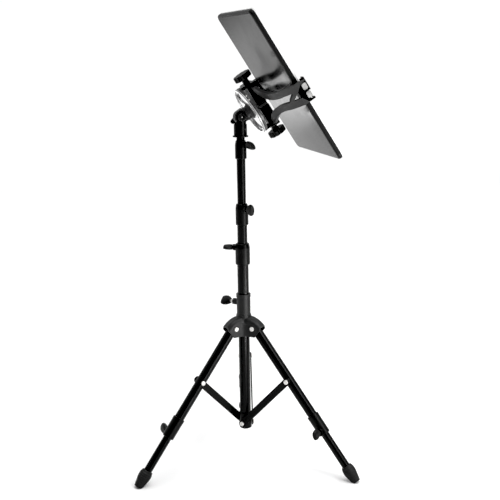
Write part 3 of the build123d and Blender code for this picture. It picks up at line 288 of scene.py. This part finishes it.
# The disc is bright, with a satin rim where painted shade darkens its groove and its band towards the jaw
RIM_RADII = (34.6 * MM, 35.0 * MM)
RIM_FACING = (0.85, 0.5)
BACK_BAND_START = (-2.7 * MM, -2.5 * MM)
BACK_BAND_END = (-0.6 * MM, -0.9 * MM)
FRONT_BAND_START = (0.7 * MM, 0.9 * MM)
GROOVE_PAINTED_SHADE = grey(0.02)
FRONT_BAND_PAINTED_SHADE = grey(0.09)
BACK_BAND_TONE = grey(0.5)
disc_look = LOOKS["silver_disc"]
disc_middle = middle("turn_disc")
outside = disc_look.remap(disc_look.off_axis(disc_middle, FORWARD), *RIM_RADII)
rim = disc_look.times(outside, disc_look.squareness(FORWARD, *RIM_FACING))
depth = disc_look.along(disc_middle, FORWARD)
front_shade_band = disc_look.remap(depth, *FRONT_BAND_START)
back_band = disc_look.times(disc_look.remap(depth, *BACK_BAND_START), disc_look.remap(depth, *BACK_BAND_END))
# Painted shade on the rim: near-black in the groove, dark grey on the band towards the jaw, and the back
# band kept silver
rim_shade_tone = disc_look.mix_colour(front_shade_band, GROOVE_PAINTED_SHADE, FRONT_BAND_PAINTED_SHADE)
rim_shade_tone = disc_look.mix_colour(back_band, rim_shade_tone, BACK_BAND_TONE)
disc_look.overlay(rim, rim_shade_tone, roughness=0.3, metallic=0.4)

# Two bright pins set in the groove of the rim: mm across, up the panel and forward from the disc's middle
PIN_RADIUS = 1.2 * MM
PIN_PLACES = ((-25.4, 26.1, 0.8), (-29.6, 20.0, 0.7))
for across, up_panel, ahead in PIN_PLACES:
    pin = disc_middle + (ACROSS * across + UP_PANEL * up_panel + FORWARD * ahead) * MM
    reach = disc_look.vector("DISTANCE", disc_look.place, pin).outputs["Value"]
    disc_look.overlay(disc_look.below(reach, PIN_RADIUS), NICKEL, roughness=0.3)

# The panel's back is a dark gloss that mirrors the jaws, and its sides are darker
SIDE_FACING = (0.97, 0.8)
back_look = LOOKS["panel_back"]
back_look.overlay(back_look.squareness(FORWARD, *SIDE_FACING), grey(0.01), roughness=0.4)

# The panel's front is a dark blank screen in a pale frame, paler still at its edge
SCREEN_HALF = Vector((80.0, 104.0)) * MM
FRONT_FACING = (0.9, 0.95)
SMEAR_GLOSS = (0.05, 0.2)
face_look = LOOKS["panel_front"]
face_middle = middle("panel_face")
side = face_look.math("ABSOLUTE", face_look.along(face_middle, ACROSS))
height = face_look.math("ABSOLUTE", face_look.along(face_middle, UP_PANEL))
screen = face_look.times(face_look.below(side, SCREEN_HALF.x), face_look.below(height, SCREEN_HALF.y))
front = face_look.squareness(FORWARD, *FRONT_FACING)
frame_tone = face_look.mix_colour(face_look.noise(40.0), grey(0.38), grey(0.46))
face_look.overlay(front, frame_tone, roughness=0.3)
smears = face_look.remap(face_look.noise(16.0, detail=5.0, roughness=0.6), *CONTRAST, *SMEAR_GLOSS)
face_look.overlay(face_look.times(screen, front), grey(0.004), smears)

# The tilt bolt's head carries a painted highlight: a small nickel-coloured spot in its middle
BOLT_PAINTED_HIGHLIGHT_RADII = (1.1 * MM, 0.8 * MM)
bolt_look = LOOKS["black_bolt"]
bolt_painted_highlight = bolt_look.remap(bolt_look.off_axis(middle("tilt_bolt"), ACROSS), *BOLT_PAINTED_HIGHLIGHT_RADII)
bolt_look.overlay(bolt_painted_highlight, NICKEL, roughness=0.25, metallic=0.6)

# Ribs round the rubber feet
RIB_PITCH = 3.2 * MM
RIB_DEPTH = 0.4 * MM
RIB_STRENGTH = 0.5
for number, leg in enumerate(LEG_AXES, 1):
    foot_look = rubber_surface(f"foot_rubber_{number}")
    turns = foot_look.times(foot_look.dot(foot_look.place, leg), 2 * math.pi / RIB_PITCH)
    ribs = foot_look.node(
        "ShaderNodeBump", Height=foot_look.math("SINE", turns), Strength=RIB_STRENGTH, Distance=RIB_DEPTH,
        Normal=foot_look.edge.outputs["Normal"])
    foot_look.put(foot_look.relief.inputs["Normal"], ribs.outputs["Normal"])
    LOOK_OF[f"foot_{number}"] = foot_look

# Bare nickel shanks between the mast and the wings of the two lowest screws
SHANK_RADIUS = 2.45 * MM
WING_STARTS = {"hub_screw": 26.5 * MM, "lower_collar_screw": 16.0 * MM}
for name, wing_start in WING_STARTS.items():
    centre = middle(name)
    outward = Vector((centre.x, centre.y, 0.0)).normalized()
    on_mast = Vector((0.0, 0.0, centre.z))
    screw_look = knob_surface(f"{name}_look")
    thin = screw_look.below(screw_look.off_axis(on_mast, outward), SHANK_RADIUS)
    inner = screw_look.below(screw_look.along(on_mast, outward), wing_start)
    screw_look.overlay(screw_look.times(thin, inner), NICKEL, roughness=0.25, metallic=0.6)
    LOOK_OF[name] = screw_look

# Handled edges are rubbed to a lighter tone, which is also a painted edge highlight
WORN_AND_LIT_EDGE_TONES = {"black_plastic": 0.04, "block_plastic": 0.04, "black_bolt": 0.04, "grey_plastic": 0.11}
for slot, tone in WORN_AND_LIT_EDGE_TONES.items():
    LOOKS[slot].wear_and_edge_highlight(tone)
LOOK_OF["leg_hub"].wear_and_edge_highlight(tone=0.06)

for name, piece in nodes.items():
    piece.data.materials.clear()
    piece.data.materials.append(LOOK_OF[name].material)

# Camera fitted to the photograph
CAMERA_AT = Vector((-1.2799, 0.3435, 0.6287))
CAMERA_AZIMUTH = math.radians(-15.502)
CAMERA_PITCH = math.radians(12.552)
CAMERA_ROLL = math.radians(0.938)
CAMERA_LENS = 65.457
SENSOR_WIDTH = 36.0
forward = Vector((
    math.cos(CAMERA_PITCH) * math.cos(CAMERA_AZIMUTH),
    math.cos(CAMERA_PITCH) * math.sin(CAMERA_AZIMUTH),
    -math.sin(CAMERA_PITCH),
))
level_right = Vector((math.sin(CAMERA_AZIMUTH), -math.cos(CAMERA_AZIMUTH), 0.0))
level_up = level_right.cross(forward)
right = level_right * math.cos(CAMERA_ROLL) - level_up * math.sin(CAMERA_ROLL)
up = level_right * math.sin(CAMERA_ROLL) + level_up * math.cos(CAMERA_ROLL)
camera_data = bpy.data.cameras.new("camera")
camera_data.lens = CAMERA_LENS
camera_data.sensor_width = SENSOR_WIDTH
camera_data.clip_start = 0.05
camera_data.clip_end = 50.0
camera = bpy.data.objects.new("camera", camera_data)
scene.collection.objects.link(camera)
turn = Matrix((right, up, -forward)).transposed()
camera.matrix_world = Matrix.Translation(CAMERA_AT) @ turn.to_4x4()
scene.camera = camera

# Pale floor, lit until it meets the pale backdrop, and dimmer in the part's reflections
FLOOR_RADIUS = 3.0
FLOOR_SIDES = 64
FLOOR_TONE = grey(0.94)
FLOOR_MIRRORED_TONE = grey(0.55)
FLOOR_ROUGHNESS = 0.9
floor_mesh = bpy.data.meshes.new("floor")
floor_shape = bmesh.new()
bmesh.ops.create_circle(floor_shape, cap_ends=True, segments=FLOOR_SIDES, radius=FLOOR_RADIUS)
floor_shape.to_mesh(floor_mesh)
floor_shape.free()
floor = bpy.data.objects.new("floor", floor_mesh)
scene.collection.objects.link(floor)
floor_look = Shader("floor_white")
in_mirror = floor_look.node("ShaderNodeLightPath").outputs["Is Glossy Ray"]
floor_look.coat(floor_look.mix_colour(in_mirror, FLOOR_TONE, FLOOR_MIRRORED_TONE), FLOOR_ROUGHNESS)
floor_mesh.materials.append(floor_look.material)

# The photograph's blacks are deep
BLACK_LEVEL = 0.013
scene.view_settings.view_transform = "Standard"
scene.view_settings.use_curve_mapping = True
scene.view_settings.curve_mapping.black_level = (BLACK_LEVEL, BLACK_LEVEL, BLACK_LEVEL)
scene.view_settings.curve_mapping.update()

# Backdrop: white to the camera, and for light a white sweep behind the part and a dark room before it
BACKDROP_STRENGTH = 1.02
SWEEP_SIDE = Vector((0.78, 0.1, 0.62))
SWEEP_SPREAD = (-0.3, 0.9)
SWEEP_STRENGTH = (0.2, 0.6)
HORIZON = (-0.2, 0.1)
HORIZON_STRENGTH = (0.05, 1.0)
world = bpy.data.worlds.new("studio")
world.use_nodes = True
studio = Nodes(world.node_tree)
backdrop = studio.tree.nodes["Background"]
backdrop.inputs["Color"].default_value = grey(1.0)
direction = studio.node("ShaderNodeTexCoord").outputs["Generated"]
sweep = studio.remap(studio.dot(direction, SWEEP_SIDE), *SWEEP_SPREAD, *SWEEP_STRENGTH)
dark_below = studio.remap(studio.dot(direction, UP), *HORIZON, *HORIZON_STRENGTH)
on_camera = studio.node("ShaderNodeLightPath").outputs["Is Camera Ray"]
strength = studio.mix(on_camera, studio.times(sweep, dark_below), BACKDROP_STRENGTH)
studio.put(backdrop.inputs["Strength"], strength)
scene.world = world


def add_light(name, kind, power, toward):
    lamp = bpy.data.objects.new(name, bpy.data.lights.new(name, kind))
    lamp.data.energy = power
    lamp.rotation_mode = "QUATERNION"
    lamp.rotation_quaternion = Vector(toward).to_track_quat("-Z", "Y")
    scene.collection.objects.link(lamp)
    return lamp


# A rectangle of light in metres and watts, which glossy surfaces mirror or don't
def soft_light(name, place, aim, width, height, power, mirrored=True):
    lamp = add_light(name, "AREA", power, Vector(aim) - Vector(place))
    lamp.location = place
    lamp.visible_glossy = mirrored
    lamp.data.shape = "RECTANGLE"
    lamp.data.size = width
    lamp.data.size_y = height


soft_light("strip", place=(-0.74, -0.52, 0.6), aim=(0, 0, 0.45), width=0.12, height=1.2, power=3.2)
soft_light(
    "floor_strip", place=(-0.62, -0.43, 0.02), aim=(-0.62, -0.43, 1.0), width=0.1, height=0.85, power=7.0)
soft_light(
    "fill", place=(0.21, 0.2, 0.26), aim=(0.08, -0.02, 0.45), width=0.14, height=0.14, power=4.4,
    mirrored=False)
# Mirrored in the panel's back between the jaw's arms
soft_light("glow", place=(0.8, 0.035, 0.27), aim=(0, 0, 0.48), width=0.12, height=0.12, power=0.1)

# Even light from above, so that the floor stays pale out to the horizon
SKY_SPREAD = math.radians(70.0)
sky = add_light("sky", "SUN", power=2.7, toward=(0.15, 0.25, -1.0))
sky.data.angle = SKY_SPREAD
